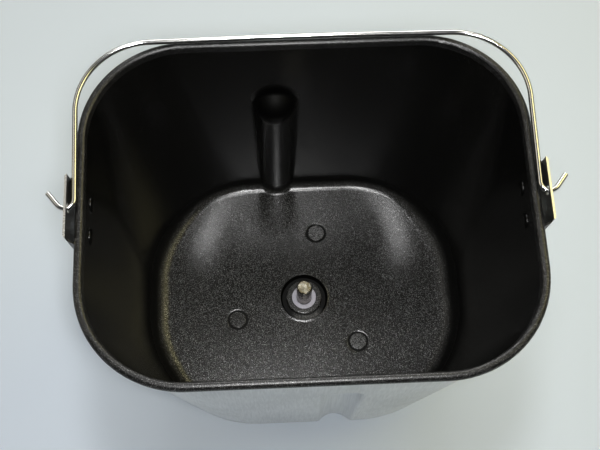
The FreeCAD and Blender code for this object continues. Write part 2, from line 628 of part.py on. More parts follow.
# Bearing bushes, pressed into the housing
bush_bore = f"{SHAFT_R} + Sizes.run_room"
lower_bush = ring("lower_bush", bush_bore, bush_r, "Sizes.housing_low", "Sizes.bush_long")
upper_bush = ring("upper_bush", bush_bore, bush_r, "Sizes.chamber_low - Sizes.bush_long", "Sizes.bush_long")

# Shaft seal: a moulded cup whose lip is drawn in by a garter spring, under a pale washer
lip_r = f"{SHAFT_R} + Sizes.lip_room"
seal_top = "(Sizes.seal_low + Sizes.seal_tall)"
base_top = "Sizes.seal_low + Sizes.seal_base"
spring_r = f"({SHAFT_R} + Sizes.lip_room + Sizes.seal_skin + Sizes.garter_wire / 2)"
shaft_seal = turned("shaft_seal", [
    (f"{lip_r} + Sizes.lip_relief", "Sizes.seal_low"), (chamber_r, "Sizes.seal_low"), (chamber_r, seal_top),
    (f"{chamber_r} - Sizes.seal_skin", seal_top), (f"{chamber_r} - Sizes.seal_skin", base_top),
    (f"{lip_r} + Sizes.seal_skin", base_top), (f"{lip_r} + Sizes.seal_skin", f"{seal_top} - Sizes.lip_face"),
    (lip_r, f"{seal_top} - Sizes.lip_down"), (lip_r, f"{seal_top} - Sizes.lip_down - Sizes.lip_face")])
seal_garter_spring = doc.addObject("Part::Torus", "seal_garter_spring")
seal_garter_spring.setExpression("Radius1", spring_r)
seal_garter_spring.setExpression("Radius2", "Sizes.garter_wire / 2")
place(seal_garter_spring, z=f"{seal_top} - Sizes.garter_down")
seal_washer = ring("seal_washer", f"{SHAFT_R} + 2 * Sizes.run_room", f"{chamber_r} - Sizes.hole_room",
                   seal_top, "Sizes.washer_thick")

# Drive shaft: turned, grooved for its snap ring, with a paddle flat and a cross hole
shaft_tip = f"({FLOOR} + Sizes.shaft_top)"
paddle_r, paddle_low = "(Sizes.paddle_width / 2)", f"({FLOOR} + Sizes.paddle_low)"
ring_top = "Sizes.ring_low + Sizes.ring_thick + Sizes.hole_room"
drive_shaft = turned("drive_shaft", [
    ("0", "Sizes.shaft_low"), (f"{SHAFT_R} - Sizes.tip_bevel", "Sizes.shaft_low"),
    (SHAFT_R, "Sizes.shaft_low + Sizes.tip_bevel"), (SHAFT_R, "Sizes.ring_low - Sizes.hole_room"),
    ("Sizes.ring_groove / 2", "Sizes.ring_low - Sizes.hole_room"), ("Sizes.ring_groove / 2", ring_top),
    (SHAFT_R, ring_top), (SHAFT_R, paddle_low), (paddle_r, paddle_low),
    (paddle_r, f"{shaft_tip} - Sizes.tip_bevel"), (f"{paddle_r} - Sizes.tip_bevel", shaft_tip),
    ("0", shaft_tip)])
flat_sketch = new_sketch(drive_shaft, "flat_section", "XY_Plane", shaft_tip, size("flat_turn"))
slab_outline(flat_sketch, f"{paddle_r} - Sizes.flat_deep", "Sizes.shaft_width", "Sizes.shaft_width * 1.5")
doc.recompute()
round_volume = drive_shaft.Shape.Volume
flat_cut = drive_shaft.newObject("PartDesign::Pocket", "paddle_flat")
flat_cut.Profile = flat_sketch
flat_cut.setExpression("Length", f"{shaft_tip} - {paddle_low}")
drive_shaft.Tip = flat_cut
doc.recompute()
if drive_shaft.Shape.Volume >= round_volume:
    raise RuntimeError("the paddle flat cuts nothing")
pin_sketch = new_sketch(drive_shaft, "pin_hole_section", "YZ_Plane")
round_outline(pin_sketch, "Sizes.pin_width / 2", y="Sizes.pin_high")
bored(drive_shaft, pin_sketch, "pin_hole")
shaft_snap_ring = split_ring("shaft_snap_ring", "Sizes.ring_groove / 2", "Sizes.ring_width / 2",
                             "Sizes.ring_low", "Sizes.ring_thick")
thrust_bore = f"{SHAFT_R} + 2 * Sizes.run_room"
upper_thrust_washer = ring("upper_thrust_washer", thrust_bore, f"{chamber_r} - 4 * Sizes.hole_room",
                           "Sizes.chamber_low", "Sizes.thrust_thick")
lower_thrust_washer = ring("lower_thrust_washer", thrust_bore, f"{neck} - Sizes.thrust_inset",
                           "Sizes.housing_low - Sizes.thrust_thick", "Sizes.thrust_thick")

# Drive coupling: a two-winged driver pinned across the shaft's lower end
drive_coupling = turned("drive_coupling", [
    (SHAFT_R, "Sizes.shaft_low"), ("Sizes.driver_hub / 2 - Sizes.driver_bevel", "Sizes.shaft_low"),
    ("Sizes.driver_hub / 2", "Sizes.shaft_low + Sizes.driver_bevel"),
    ("Sizes.driver_hub / 2", "Sizes.driver_top"), (SHAFT_R, "Sizes.driver_top")])
wing_sketch = new_sketch(drive_coupling, "wing_section", "XY_Plane", "Sizes.wing_low", 90.0)
slab_outline(wing_sketch, f"{SHAFT_R} + Sizes.driver_bevel", "Sizes.wing_reach", "Sizes.wing_thick")
wing = padded(drive_coupling, wing_sketch, "wing", "Sizes.driver_top - Sizes.wing_low - Sizes.wing_step")
repeated(drive_coupling, wing, "wings", 2)
cross_sketch = new_sketch(drive_coupling, "cross_hole_section", "YZ_Plane")
round_outline(cross_sketch, "Sizes.pin_width / 2", y="Sizes.pin_high")
bored(drive_coupling, cross_sketch, "cross_hole")
coupling_pin = new_body("coupling_pin")
pin_body_sketch = new_sketch(coupling_pin, "coupling_pin_section", "YZ_Plane",
                             "Sizes.pin_inset - Sizes.driver_hub / 2")
round_outline(pin_body_sketch, "Sizes.pin_width / 2", y="Sizes.pin_high")
padded(coupling_pin, pin_body_sketch, "coupling_pin_pad", "Sizes.driver_hub - 2 * Sizes.pin_inset")

# Bail brackets: bent channels whose return feet are riveted to the side walls
right_bracket = new_body("right_bracket")
channel_sketch = new_sketch(right_bracket, "channel_section", "XY_Plane", "-Sizes.plate_down")
foot_half, plate_half = "Sizes.foot_gap / 2", "Sizes.plate_wide / 2"
inner_half = f"({plate_half} - Sizes.sheet_thick)"
plate_in, plate_out = "Sizes.plate_off", "Sizes.plate_off + Sizes.sheet_thick"
half_channel = [("0", foot_half), ("Sizes.sheet_thick", foot_half), ("Sizes.sheet_thick", inner_half),
                (plate_in, inner_half), (plate_in, "0"), (plate_out, "0"), (plate_out, plate_half),
                ("0", plate_half)]
outline(channel_sketch, half_channel)
half_pad = padded(right_bracket, channel_sketch, "half_channel", "Sizes.plate_down + Sizes.plate_up")
whole = right_bracket.newObject("PartDesign::Mirrored", "whole_channel")
whole.Originals = [half_pad]
whole.MirrorPlane = (origin_feature(right_bracket, "XZ_Plane"), [""])
right_bracket.Tip = whole
doc.recompute()


def bent(name, source, half_width, radius):
    """Round a channel's upright edges that stand a given way off its middle."""
    picked = [f"Edge{i}" for i, edge in enumerate(source.Shape.Edges, start=1)
              if abs(edge.BoundBox.YLength) < SAME and edge.BoundBox.ZLength > SAME
              and abs(abs(edge.CenterOfMass.y) - half_width) < SAME]
    bend = right_bracket.newObject("PartDesign::Fillet", name)
    bend.Base = (source, picked)
    bend.setExpression("Radius", radius)
    right_bracket.Tip = bend
    doc.recompute()
    return bend


inside_bends = bent("inside_bends", whole, size("plate_wide") / 2 - size("sheet_thick"), "Sizes.sheet_bend")
bent("outside_bends", inside_bends, size("plate_wide") / 2, "Sizes.sheet_bend + Sizes.sheet_thick")
slope_sketch = new_sketch(right_bracket, "slope_section", "XZ_Plane")
slope_over = "(Sizes.plate_up + Sizes.cut_over)"
slope_corners = [("0", "Sizes.slope_low"), (plate_in, "Sizes.slope_high"), (plate_in, slope_over),
                 ("0", slope_over)]
outline(slope_sketch, slope_corners)
bored(right_bracket, slope_sketch, "slope_cut")
eye_sketch = new_sketch(right_bracket, "eye_section", "YZ_Plane")
round_outline(eye_sketch, "Sizes.eye_width / 2", y="Sizes.eye_up")
bored(right_bracket, eye_sketch, "eye")
stud_sketch = new_sketch(right_bracket, "foot_hole_section", "YZ_Plane")
round_outline(stud_sketch, "Sizes.stud_width / 2 + Sizes.hole_room", "Sizes.stud_pitch / 2")
foot_hole = right_bracket.newObject("PartDesign::Pocket", "foot_hole")
foot_hole.Profile = stud_sketch
foot_hole.setExpression("Length", "2 * Sizes.sheet_thick")
foot_hole.Reversed = True
right_bracket.Tip = foot_hole
foot_holes = right_bracket.newObject("PartDesign::Mirrored", "foot_holes")
foot_holes.Originals = [foot_hole]
foot_holes.MirrorPlane = (origin_feature(right_bracket, "XZ_Plane"), [""])
right_bracket.Tip = foot_holes
lean_on_wall(right_bracket)
left_bracket = mirrored("left_bracket", right_bracket)

# Bracket rivets: low coated heads inside the pan, tails formed on the bracket's feet
stud_bodies = []
for word, side in (("back", ""), ("front", "-")):
    name = f"right_stud_{word}"
    wall_in = "Sizes.stud_proud"
    foot_out = f"({wall_in} + Sizes.hole_room + Sizes.wall + Sizes.sheet_thick)"
    shank = "Sizes.stud_width / 2"
    stud = turned(name, [
        ("0", "0"), ("0", "Sizes.stud_head / 2 - Sizes.stud_crown"),
        (f"{wall_in} - Sizes.stud_edge", "Sizes.stud_head / 2"),
        (wall_in, "Sizes.stud_head / 2"), (wall_in, shank), (foot_out, shank),
        (foot_out, "Sizes.stud_tail / 2"),
        (f"{foot_out} + Sizes.stud_tail_tall / 2", "Sizes.stud_tail / 2"),
        (f"{foot_out} + Sizes.stud_tail_tall", "Sizes.stud_tail / 2 - Sizes.tail_bevel"),
        (f"{foot_out} + Sizes.stud_tail_tall", "0")], axis="H_Axis")
    lean_on_wall(stud)
    inset = "(Sizes.stud_proud + Sizes.hole_room + Sizes.wall)"
    place(stud, f"{WALL_X} - {inset} * cos(atan({LEAN}))", f"{side}Sizes.stud_pitch / 2",
          f"{MOUNT_Z} + {inset} * sin(atan({LEAN}))")
    stud_bodies.append(stud)
right_bracket_rivets = group("Part::Compound", "right_bracket_rivets", stud_bodies)
left_bracket_rivets = mirrored("left_bracket_rivets", right_bracket_rivets)

# Bail: one bent wire that lies back on the rim, its ends hooked through the brackets


def bent_path(sketch, points, radii):
    """Straight runs through points, with a tangent arc of its own radius at each inner point."""
    corners = [Vector(*point, 0) for point in points]
    cursor = corners[0]
    last = None
    for i in range(1, len(corners)):
        if i < len(corners) - 1:
            before = (corners[i - 1] - corners[i]).normalize()
            after = (corners[i + 1] - corners[i]).normalize()
            half = before.getAngle(after) / 2
            radius = size(radii[i - 1])
            tangent = radius / math.tan(half)
            enter, leave = corners[i] + before * tangent, corners[i] + after * tangent
            centre = corners[i] + (before + after).normalize() * (radius / math.sin(half))
        else:
            enter = corners[i]
        run = sketch.addGeometry(Part.LineSegment(cursor, enter), False)
        if last is not None:
            sketch.addConstraint(Sketcher.Constraint("Tangent", last, exit_end, run, 1))
        if i == len(corners) - 1:
            break
        left_turn = (corners[i] - corners[i - 1]).cross(corners[i + 1] - corners[i]).z > 0
        first, final = (enter, leave) if left_turn else (leave, enter)
        angles = [math.atan2(end.y - centre.y, end.x - centre.x) for end in (first, final)]
        circle = Part.Circle(centre, Vector(0, 0, 1), radius)
        arc = sketch.addGeometry(Part.ArcOfCircle(circle, *angles), False)
        sketch.addConstraint(Sketcher.Constraint("Tangent", run, 2, arc, 1 if left_turn else 2))
        bound(sketch, "Radius", (arc,), radius, f"Sizes.{radii[i - 1]}")
        last, exit_end, cursor = arc, 2 if left_turn else 1, leave
    return sketch


bail_handle = new_body("bail_handle")
bail_path = new_sketch(bail_handle, "bail_path", "XY_Plane", f"{FLOOR} + Sizes.pivot_high")
side_points = [(size("hook_side"), size("hook_reach")), (size("hook_foot"), 0.0), (size("arm_half"), 0.0),
               (size("arm_half_back"), size("bar_reach_side"))]
left_points = [(-x, y) for x, y in side_points]
bail_points = side_points + [(0.0, size("bar_reach"))] + left_points[::-1]
side_radii = ["hook_bend", "eye_bend", "bail_corner"]
bent_path(bail_path, bail_points, side_radii + ["bar_bow"] + side_radii[::-1])
doc.recompute()
wire_section = bail_handle.newObject("Sketcher::SketchObject", "wire_section")
wire_section.AttachmentSupport = [(bail_path, "Edge1")]
wire_section.MapMode = "NormalToEdge"
wire_section.MapPathParameter = 0.0
round_outline(wire_section, "Sizes.wire / 2")
bail_pipe = bail_handle.newObject("PartDesign::AdditivePipe", "bail_pipe")
bail_pipe.Profile = wire_section
bail_pipe.Spine = (bail_path, [f"Edge{i}" for i in range(1, len(bail_path.Shape.Edges) + 1)])
bail_handle.Tip = bail_pipe
doc.recompute()

# Write each piece, once every step of the model has held
pieces = [pan_shell, base_collar, base_rivets, bearing_housing, housing_gasket, housing_retaining_ring,
          lower_bush, upper_bush, shaft_seal, seal_garter_spring, seal_washer, drive_shaft, shaft_snap_ring,
          upper_thrust_washer, lower_thrust_washer, drive_coupling, coupling_pin, left_bracket, right_bracket,
          left_bracket_rivets, right_bracket_rivets, bail_handle]
failed = [item.Name for item in doc.Objects if "Invalid" in item.State or "Error" in item.State]
failed += [piece.Label for piece in pieces if piece.Shape.isNull() or not piece.Shape.isValid()]
if failed:
    raise RuntimeError("failed: " + ", ".join(failed))
os.makedirs("parts", exist_ok=True)
for piece in pieces:
    piece.Shape.exportStep(f"parts/{piece.Label}.step")
    print(f"{piece.Label}: {len(piece.Shape.Solids)} solids, {piece.Shape.Volume:.0f} mm3")
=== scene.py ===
import json
import math

import bpy
from mathutils import Matrix, Vector

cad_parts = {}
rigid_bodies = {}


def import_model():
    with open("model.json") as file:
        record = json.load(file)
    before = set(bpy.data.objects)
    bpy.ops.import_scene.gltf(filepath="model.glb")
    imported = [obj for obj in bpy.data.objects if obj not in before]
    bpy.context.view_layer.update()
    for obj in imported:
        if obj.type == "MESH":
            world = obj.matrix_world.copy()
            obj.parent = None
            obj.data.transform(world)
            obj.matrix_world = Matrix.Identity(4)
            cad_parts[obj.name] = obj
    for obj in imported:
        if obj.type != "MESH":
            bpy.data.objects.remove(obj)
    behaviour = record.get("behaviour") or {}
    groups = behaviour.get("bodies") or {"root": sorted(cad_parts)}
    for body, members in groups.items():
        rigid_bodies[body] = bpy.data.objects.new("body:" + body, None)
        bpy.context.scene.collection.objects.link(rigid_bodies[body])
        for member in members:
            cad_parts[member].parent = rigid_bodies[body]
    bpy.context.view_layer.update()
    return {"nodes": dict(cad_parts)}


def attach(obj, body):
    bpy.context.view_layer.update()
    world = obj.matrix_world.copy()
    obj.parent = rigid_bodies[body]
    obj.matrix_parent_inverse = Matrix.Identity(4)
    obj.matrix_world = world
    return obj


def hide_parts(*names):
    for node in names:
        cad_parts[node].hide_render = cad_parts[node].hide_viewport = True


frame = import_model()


# Pan: one drawn aluminium sheet with two pressed dough ribs and a rolled rim. It is sprayed
# with a flecked non-stick coating inside and over the rim, and left satin outside.
class Tone:
    """A socket of a finish that takes part in sums as a number does."""

    def __init__(self, socket):
        self.socket = socket

    def node(self, kind, settings, sockets, output=0):
        """Add a node: its settings first, then the values or links of its sockets."""
        tree = self.socket.id_data
        made = tree.nodes.new(kind)
        for key, value in settings.items():
            setattr(made, key, value)
        for key, value in sockets.items():
            if isinstance(value, Tone):
                tree.links.new(value.socket, made.inputs[key])
            else:
                made.inputs[key].default_value = value
        return Tone(made.outputs[output])

    def sum(self, operation, first, second):
        return self.node("ShaderNodeMath", {"operation": operation}, {0: first, 1: second})

    def __add__(self, other):
        return self.sum("ADD", self, other)

    def __sub__(self, other):
        return self.sum("SUBTRACT", self, other)

    def __rsub__(self, other):
        return self.sum("SUBTRACT", other, self)

    def __mul__(self, other):
        return self.sum("MULTIPLY", self, other)

    __radd__ = __add__
    __rmul__ = __mul__

    def along(self, axis):
        """One coordinate of this place."""
        return self.node("ShaderNodeSeparateXYZ", {}, {"Vector": self}, axis)

    def away_from(self, point):
        """How far this place is from a point."""
        return self.node("ShaderNodeVectorMath", {"operation": "DISTANCE"}, {0: self, 1: point}, "Value")

    def stretched(self, scale):
        return self.node("ShaderNodeMapping", {}, {"Vector": self, "Scale": scale})

    def noise(self, scale, detail=2.0):
        """Cloudy values about this place, at so many to the metre."""
        return self.node("ShaderNodeTexNoise", {}, {"Vector": self, "Scale": scale, "Detail": detail})

    def flakes(self, scale, output="Distance"):
        """Small cells about this place, at so many to the metre."""
        return self.node("ShaderNodeTexVoronoi", {}, {"Vector": self, "Scale": scale}, output)

    def step(self, low, high):
        """0 below low, 1 above high and smooth between them."""
        return self.node("ShaderNodeMapRange", {"interpolation_type": "SMOOTHSTEP"},
                         {"Value": self, "From Min": low, "From Max": high})

    def mix(self, none, full):
        """A colour between two, by this amount."""
        return self.node("ShaderNodeMix", {"data_type": "RGBA"}, {0: self, 6: none, 7: full}, 2)

    def bump(self, height):
        """A surface direction from this height map, so many metres deep."""
        return self.node("ShaderNodeBump", {}, {"Height": self, "Distance": height, "Strength": 1.0})


def new_finish(name, **numbers):
    """A finish with its plain numbers set, and the place on the piece that its pattern reads."""
    finish = bpy.data.materials.new(name)
    finish.use_nodes = True
    skin = finish.node_tree.nodes["Principled BSDF"]
    for socket, value in numbers.items():
        skin.inputs[socket.replace("_", " ").title()].default_value = value
    place = finish.node_tree.nodes.new("ShaderNodeTexCoord")
    return finish, skin, Tone(place.outputs["Object"])


def feed(skin, **tones):
    """Let what varies drive the finish's own sockets."""
    for socket, tone in tones.items():
        skin.id_data.links.new(tone.socket, skin.inputs[socket.replace("_", " ").title()])


# The flecks settle on the floor and on the rim, and the walls have few. More flecks towards the front and a
# lighter black on the floor than on the walls are painted light. The ribs' upper ends are painted darker
# and duller: painted shade.
coating, skin, spot = new_finish("flecked_nonstick_coating")
up = spot.along("Z")
on_wall = up.step(0.0238, 0.0275)
on_sweep = up.step(0.0235, 0.0250) - up.step(0.0290, 0.0340)
on_rim = up.step(0.1588, 0.1600)
back_end = spot.away_from((-0.0123, 0.0690, 0.1180)).step(0.0095, 0.0140)
front_end = spot.away_from((0.0123, -0.0690, 0.1180)).step(0.0095, 0.0140)
# Painted shade: the ribs' upper ends darkened and dulled.
rib_end_painted_shade = 2 - back_end - front_end
settled = 1 - on_wall * 0.95 + on_rim * 0.55
# Painted light: fewer flecks towards the back, so the floor's front comes out brighter.
front_painted_light_flecks = 1 - spot.along("Y").step(-0.050, 0.030) * 0.35
askew = spot.node("ShaderNodeMapping", {}, {"Vector": spot, "Rotation": (0.6, 0.4, 0.9)})
flakes_per_metre = 3200.0
luck = askew.flakes(flakes_per_metre, "Color")
small = luck.step(0.54, 0.90) * settled * front_painted_light_flecks
bright = luck.step(0.92, 0.97) * 0.5
fleck = (1 - askew.flakes(flakes_per_metre).step(0.25, 0.60)) * (small + bright)
grain = askew.noise(1900.0) * settled
cloud = spot.noise(26.0, 3.0)
mottle = (grain * 0.8 + cloud * 0.2).step(0.36, 0.64)
wall_black = mottle.mix((0.0015, 0.0015, 0.0013, 1), (0.0090, 0.0087, 0.0078, 1))
# Painted light: the floor's black is lighter than the walls' black.
floor_painted_light_black = (1 - on_wall).mix(wall_black, (0.0110, 0.0107, 0.0088, 1))
flecked = fleck.mix(floor_painted_light_black, (0.52, 0.52, 0.52, 1))
feed(skin, base_color=rib_end_painted_shade.mix(flecked, (0.006, 0.006, 0.0055, 1)),
     roughness=0.19 + cloud * 0.05 + fleck * 0.07 + on_rim * 0.12 + on_sweep * 0.12 + rib_end_painted_shade * 0.35,
     metallic=fleck * 0.9 + rib_end_painted_shade * 0.9,
     normal=grain.bump(0.00002))

# In the grooves the coating has little gloss, and its near-black colour is painted shade. At the front of
# the groove round the housing it is painted lighter: painted light.
groove_shade_coating, skin, spot = new_finish("groove_shade_nonstick_coating")
skin.inputs["Specular IOR Level"].default_value = 0.12
cloud = spot.noise(700.0)
groove_painted_shade = cloud.mix((0.0010, 0.0010, 0.0009, 1), (0.0040, 0.0039, 0.0035, 1))
groove_front_painted_light = spot.noise(1700.0).step(0.35, 0.65).mix((0.030, 0.030, 0.028, 1), (0.145, 0.142, 0.135, 1))
# Painted light: the front of the groove round the housing is lighter than the rest.
groove_front_light_mask = 1 - spot.away_from((0.0015, -0.0115, 0.0225)).step(0.0045, 0.0105)
feed(skin, base_color=groove_front_light_mask.mix(groove_painted_shade, groove_front_painted_light),
     roughness=0.40 + cloud * 0.15,
     normal=cloud.bump(0.00001))

satin, skin, spot = new_finish("satin_drawn_aluminium", metallic=1.0)
draw_marks = spot.stretched((1.0, 1.0, 0.02)).noise(1300.0, 4.0)
cloud = spot.noise(22.0, 3.0)
tarnish = (draw_marks * 0.5 + cloud * 0.5).step(0.3, 0.7)
feed(skin, base_color=tarnish.mix((0.50, 0.505, 0.51, 1), (0.72, 0.725, 0.73, 1)),
     roughness=0.28 + draw_marks * 0.16 + cloud * 0.06,
     normal=draw_marks.bump(0.00004))


def take_up(piece):
    """Make a piece the only one that the next operators act on."""
    bpy.ops.object.select_all(action="DESELECT")
    piece.select_set(True)
    bpy.context.view_layer.objects.active = piece


def from_solid(node, name, body):
    """A copy of a solid with its triangles joined, which stands for that solid."""
    piece = bpy.data.objects.new(name, frame["nodes"][node].data.copy())
    bpy.context.scene.collection.objects.link(piece)
    piece.data.materials.clear()
    take_up(piece)
    bpy.ops.mesh.customdata_custom_splitnormals_clear()
    bpy.ops.object.mode_set(mode="EDIT")
    bpy.ops.mesh.select_all(action="SELECT")
    bpy.ops.mesh.remove_doubles(threshold=2e-6)
    bpy.ops.object.mode_set(mode="OBJECT")
    bpy.ops.object.shade_smooth_by_angle(angle=math.radians(32))
    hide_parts(node)
    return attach(piece, body)


def smoothed(piece):
    """Shade a piece round over its small edges and flat over its flats."""
    take_up(piece)
    bpy.ops.object.shade_smooth_by_angle(angle=math.radians(32))
    flats = piece.modifiers.new("flats", "WEIGHTED_NORMAL")
    flats.keep_sharp = True
    bpy.ops.object.modifier_apply(modifier=flats.name)
    return piece


def pick_faces(piece, wanted):
    """Open a piece for editing with just the wanted faces selected."""
    bpy.context.tool_settings.mesh_select_mode = (False, False, True)
    bpy.ops.object.mode_set(mode="EDIT")
    bpy.ops.mesh.select_all(action="DESELECT")
    bpy.ops.object.mode_set(mode="OBJECT")
    for face in piece.data.polygons:
        face.select = wanted(face)
    bpy.ops.object.mode_set(mode="EDIT")


pan = from_solid("pan_shell", "pan", "pan")
pan.data.materials.append(satin)
pan.data.materials.append(coating)
pan.data.materials.append(groove_shade_coating)
floor_top, rim_low = 0.0233, 0.1591
pick_faces(pan, lambda face: face.normal.z > 0.99 and abs(face.center.z - floor_top) < 1e-5)
bpy.ops.mesh.select_linked(delimit={"SHARP"})
bpy.ops.object.mode_set(mode="OBJECT")

# Towards its sides the floor runs up into the walls in a rounder sweep than at the back and front.
sheet_thick = 0.0013
lean = math.radians(5.78)
core_x, core_y, floor_corner, edge_band = 0.0240, 0.00925, 0.0580, 0.0065
edge_round, rounder, sweep_top = 0.0055, 0.0065, 0.0280
side_start, side_width = 0.048, 0.028
tangent = 1 / math.tan(math.radians(45) + lean / 2)
coated = {index for face in pan.data.polygons if face.select for index in face.vertices}
for corner in pan.data.vertices:
    x, y, z = corner.co
    behind = 0.0 if corner.index in coated else sheet_thick
    lift = max(z - floor_top + behind, 0.0)
    radius = edge_round + behind
    past_core_x = math.copysign(max(abs(x) - core_x, 0), x)
    past_core_y = math.copysign(max(abs(y) - core_y, 0), y)
    out = Vector((past_core_x, past_core_y, 0))
    if floor_corner + behind - out.length > edge_band or lift > sweep_top:
        continue
    share = min(max((abs(x) - side_start) / side_width, 0), 1)
    grow = rounder * share * share * (3 - 2 * share)
    round_top = radius * (1 - math.sin(lean))
    if lift < round_top:
        upward = 1 - lift / radius
        inward = grow * (tangent - math.sqrt(1 - upward * upward))
        rise = grow * lift / radius
    else:
        rise = grow * (1 - math.sin(lean)) * (sweep_top - lift) / (sweep_top - round_top)
        inward = -rise * math.tan(lean)
    corner.co += Vector((0, 0, rise)) - out.normalized() * inward
smoothed(pan)

groove_depth, step_low, step_high = 0.00025, 0.0228, 0.0236
for face in pan.data.polygons:
    rim = min(pan.data.vertices[index].co.z for index in face.vertices) > rim_low
    groove = face.normal.z > 0.3 and face.center.z < floor_top - groove_depth
    step = abs(face.normal.z) < 0.1 and step_low < face.center.z < step_high
    # Groove and seat faces take the near-black coating, painted shade.
    if groove or step:
        face.material_index = 2
    elif face.select or rim:
        face.material_index = 1


# Base collar: a die-cast aluminium foot, tumbled satin, riveted under the floor. Its three
# lugs lock into the machine's socket.
def edged(piece, width):
    """Break a piece's sharp edges, as tumbling or deburring does."""
    take_up(piece)
    bevel = piece.modifiers.new("edges", "BEVEL")
    bevel.width = width
    bevel.segments = 2
    bevel.limit_method = "ANGLE"
    bevel.angle_limit = math.radians(40)
    bevel.miter_outer = "MITER_ARC"
    bpy.ops.object.modifier_apply(modifier=bevel.name)
    return smoothed(piece)


cast, skin, spot = new_finish("tumbled_cast_aluminium", metallic=1.0)
cast_grain = spot.noise(800.0, 3.0)
cloud = spot.noise(35.0, 3.0)
feed(skin, base_color=(cast_grain * 0.4 + cloud * 0.6).mix((0.46, 0.47, 0.48, 1), (0.64, 0.65, 0.66, 1)),
     roughness=0.40 + cast_grain * 0.2 + cloud * 0.08,
     normal=cast_grain.bump(0.00006))
collar = edged(from_solid("base_collar", "base_collar_cast", "pan"), 0.0003)
collar.data.materials.append(cast)


# Base rivets: three aluminium rivets through floor and collar. Their flat heads sit in coined seats under
# the same coating, two of them in a lighter flecked grey, and their tails are upset below.
def pick_points(piece, places):
    """Select the corners of a piece under edit that lie at the given places."""
    bpy.ops.mesh.select_all(action="DESELECT")
    bpy.ops.object.mode_set(mode="OBJECT")
    for corner in piece.data.vertices:
        corner.select = any((corner.co - place).length < 1e-6 for place in places)
    bpy.ops.object.mode_set(mode="EDIT")


def drawn_line(name, points, closed=False):
    """A chain of edges through points, drawn by pulling one corner on to the next."""
    bpy.ops.object.select_all(action="DESELECT")
    bpy.ops.mesh.primitive_plane_add(size=0.001)
    piece = bpy.context.object
    piece.name = name
    bpy.context.tool_settings.mesh_select_mode = (True, False, False)
    bpy.ops.object.mode_set(mode="EDIT")
    bpy.ops.mesh.select_all(action="SELECT")
    bpy.ops.mesh.merge(type="CENTER")
    bpy.ops.transform.translate(value=points[0])
    for near, far in zip(points, points[1:]):
        bpy.ops.mesh.extrude_region_move(TRANSFORM_OT_translate={"value": far - near})
    if closed:
        pick_points(piece, [points[0], points[-1]])
        bpy.ops.mesh.edge_face_add()
    return piece


def round_corner(piece, place, tangent, segments):
    """Round a corner of a chain, starting the round so far from it."""
    pick_points(piece, [place])
    bpy.ops.mesh.bevel(offset_type="OFFSET", offset=tangent, segments=segments, affect="VERTICES")


def turned(name, section, rounds, steps, closed=False,
           centre=(0, 0, 0), axis=(0, 0, 1), across=(1, 0, 0)):
    """A piece spun from its half section of (radius, height), with some of its corners rounded."""
    centre, axis, across = Vector(centre), Vector(axis), Vector(across)
    points = [centre + across * radius + axis * height for radius, height in section]
    piece = drawn_line(name, points, closed)
    for corner, size in rounds.items():
        round_corner(piece, points[corner], size, 4)
    bpy.ops.mesh.select_all(action="SELECT")
    bpy.ops.mesh.spin(steps=steps, angle=2 * math.pi, center=centre, axis=axis)
    bpy.ops.mesh.select_all(action="SELECT")
    bpy.ops.mesh.remove_doubles(threshold=2e-6)
    bpy.ops.mesh.normals_make_consistent(inside=False)
    bpy.ops.object.mode_set(mode="OBJECT")
    return smoothed(piece)


def copied(piece, shift):
    """A copy of a piece with its own mesh, set so far from the first."""
    take_up(piece)
    bpy.ops.object.duplicate()
    bpy.ops.transform.translate(value=shift)
    bpy.ops.object.transform_apply(location=True, rotation=False, scale=False)
    return bpy.context.object


def together(pieces, name):
    """Make several like pieces one object of separate shapes."""
    take_up(pieces[0])
    for piece in pieces:
        piece.select_set(True)
    bpy.ops.object.join()
    pieces[0].name = name
    return pieces[0]


grey_head_coating, skin, spot = new_finish("grey_head_nonstick_coating")
speck = 1 - spot.flakes(2900.0).step(0.20, 0.55)
feed(skin, base_color=speck.mix((0.022, 0.022, 0.021, 1), (0.20, 0.20, 0.195, 1)),
     roughness=0.24 + speck * 0.12,
     normal=spot.noise(1900.0).bump(0.00002))
head_top, head_under, tail_top, tail_end = 0.0238, 0.0228, 0.0145, 0.0127
section = [(0, head_top), (0.0046, head_top), (0.0046, head_under), (0.0025, head_under),
           (0.0025, tail_top), (0.0040, tail_top), (0.0040, 0.0131), (0.0026, tail_end), (0, tail_end)]
rivet_circle = 0.0381
turns = [math.radians(turn) for turn in (77.2, 197.2, 317.2)]
places = [Vector((rivet_circle * math.cos(turn), rivet_circle * math.sin(turn), 0)) for turn in turns]
rivet = turned("base_rivet", section, {1: 0.0005, 6: 0.0005, 7: 0.0005}, 48, centre=places[0])
more = [copied(rivet, place - places[0]) for place in places[1:]]
base_rivets = together([rivet] + more, "coated_base_rivets")
base_rivets.data.materials.append(coating)
base_rivets.data.materials.append(satin)
base_rivets.data.materials.append(grey_head_coating)
for face in base_rivets.data.polygons:
    if face.center.z < head_under - 0.0003:
        face.material_index = 1
    elif face.center.z > head_top - 0.0001 and face.center.x > 0:
        face.material_index = 2
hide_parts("base_rivets")
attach(base_rivets, "pan")

# Bearing housing: a turned aluminium sleeve let in from above. Its coated head is the raised ring
# in the middle of the floor.
head_under, head_top, groove_low, groove_high = 0.0214, 0.0243, 0.0115, 0.0125
section = [(0.0060, 0.0082), (0.0082, 0.0082), (0.0082, groove_low), (0.0075, groove_low),
           (0.0075, groove_high), (0.0082, groove_high), (0.0082, head_under), (0.00965, head_under),
           (0.00965, head_top), (0.0066, head_top), (0.0066, 0.0173), (0.0060, 0.0173)]
housing = turned("coated_bearing_housing", section, {1: 0.0003, 8: 0.0007, 9: 0.0003}, 72, closed=True)
housing.data.materials.append(coating)
housing.data.materials.append(satin)
for face in housing.data.polygons:
    face.material_index = 0 if face.center.z > head_under - 0.0004 else 1
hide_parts("bearing_housing")
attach(housing, "pan")


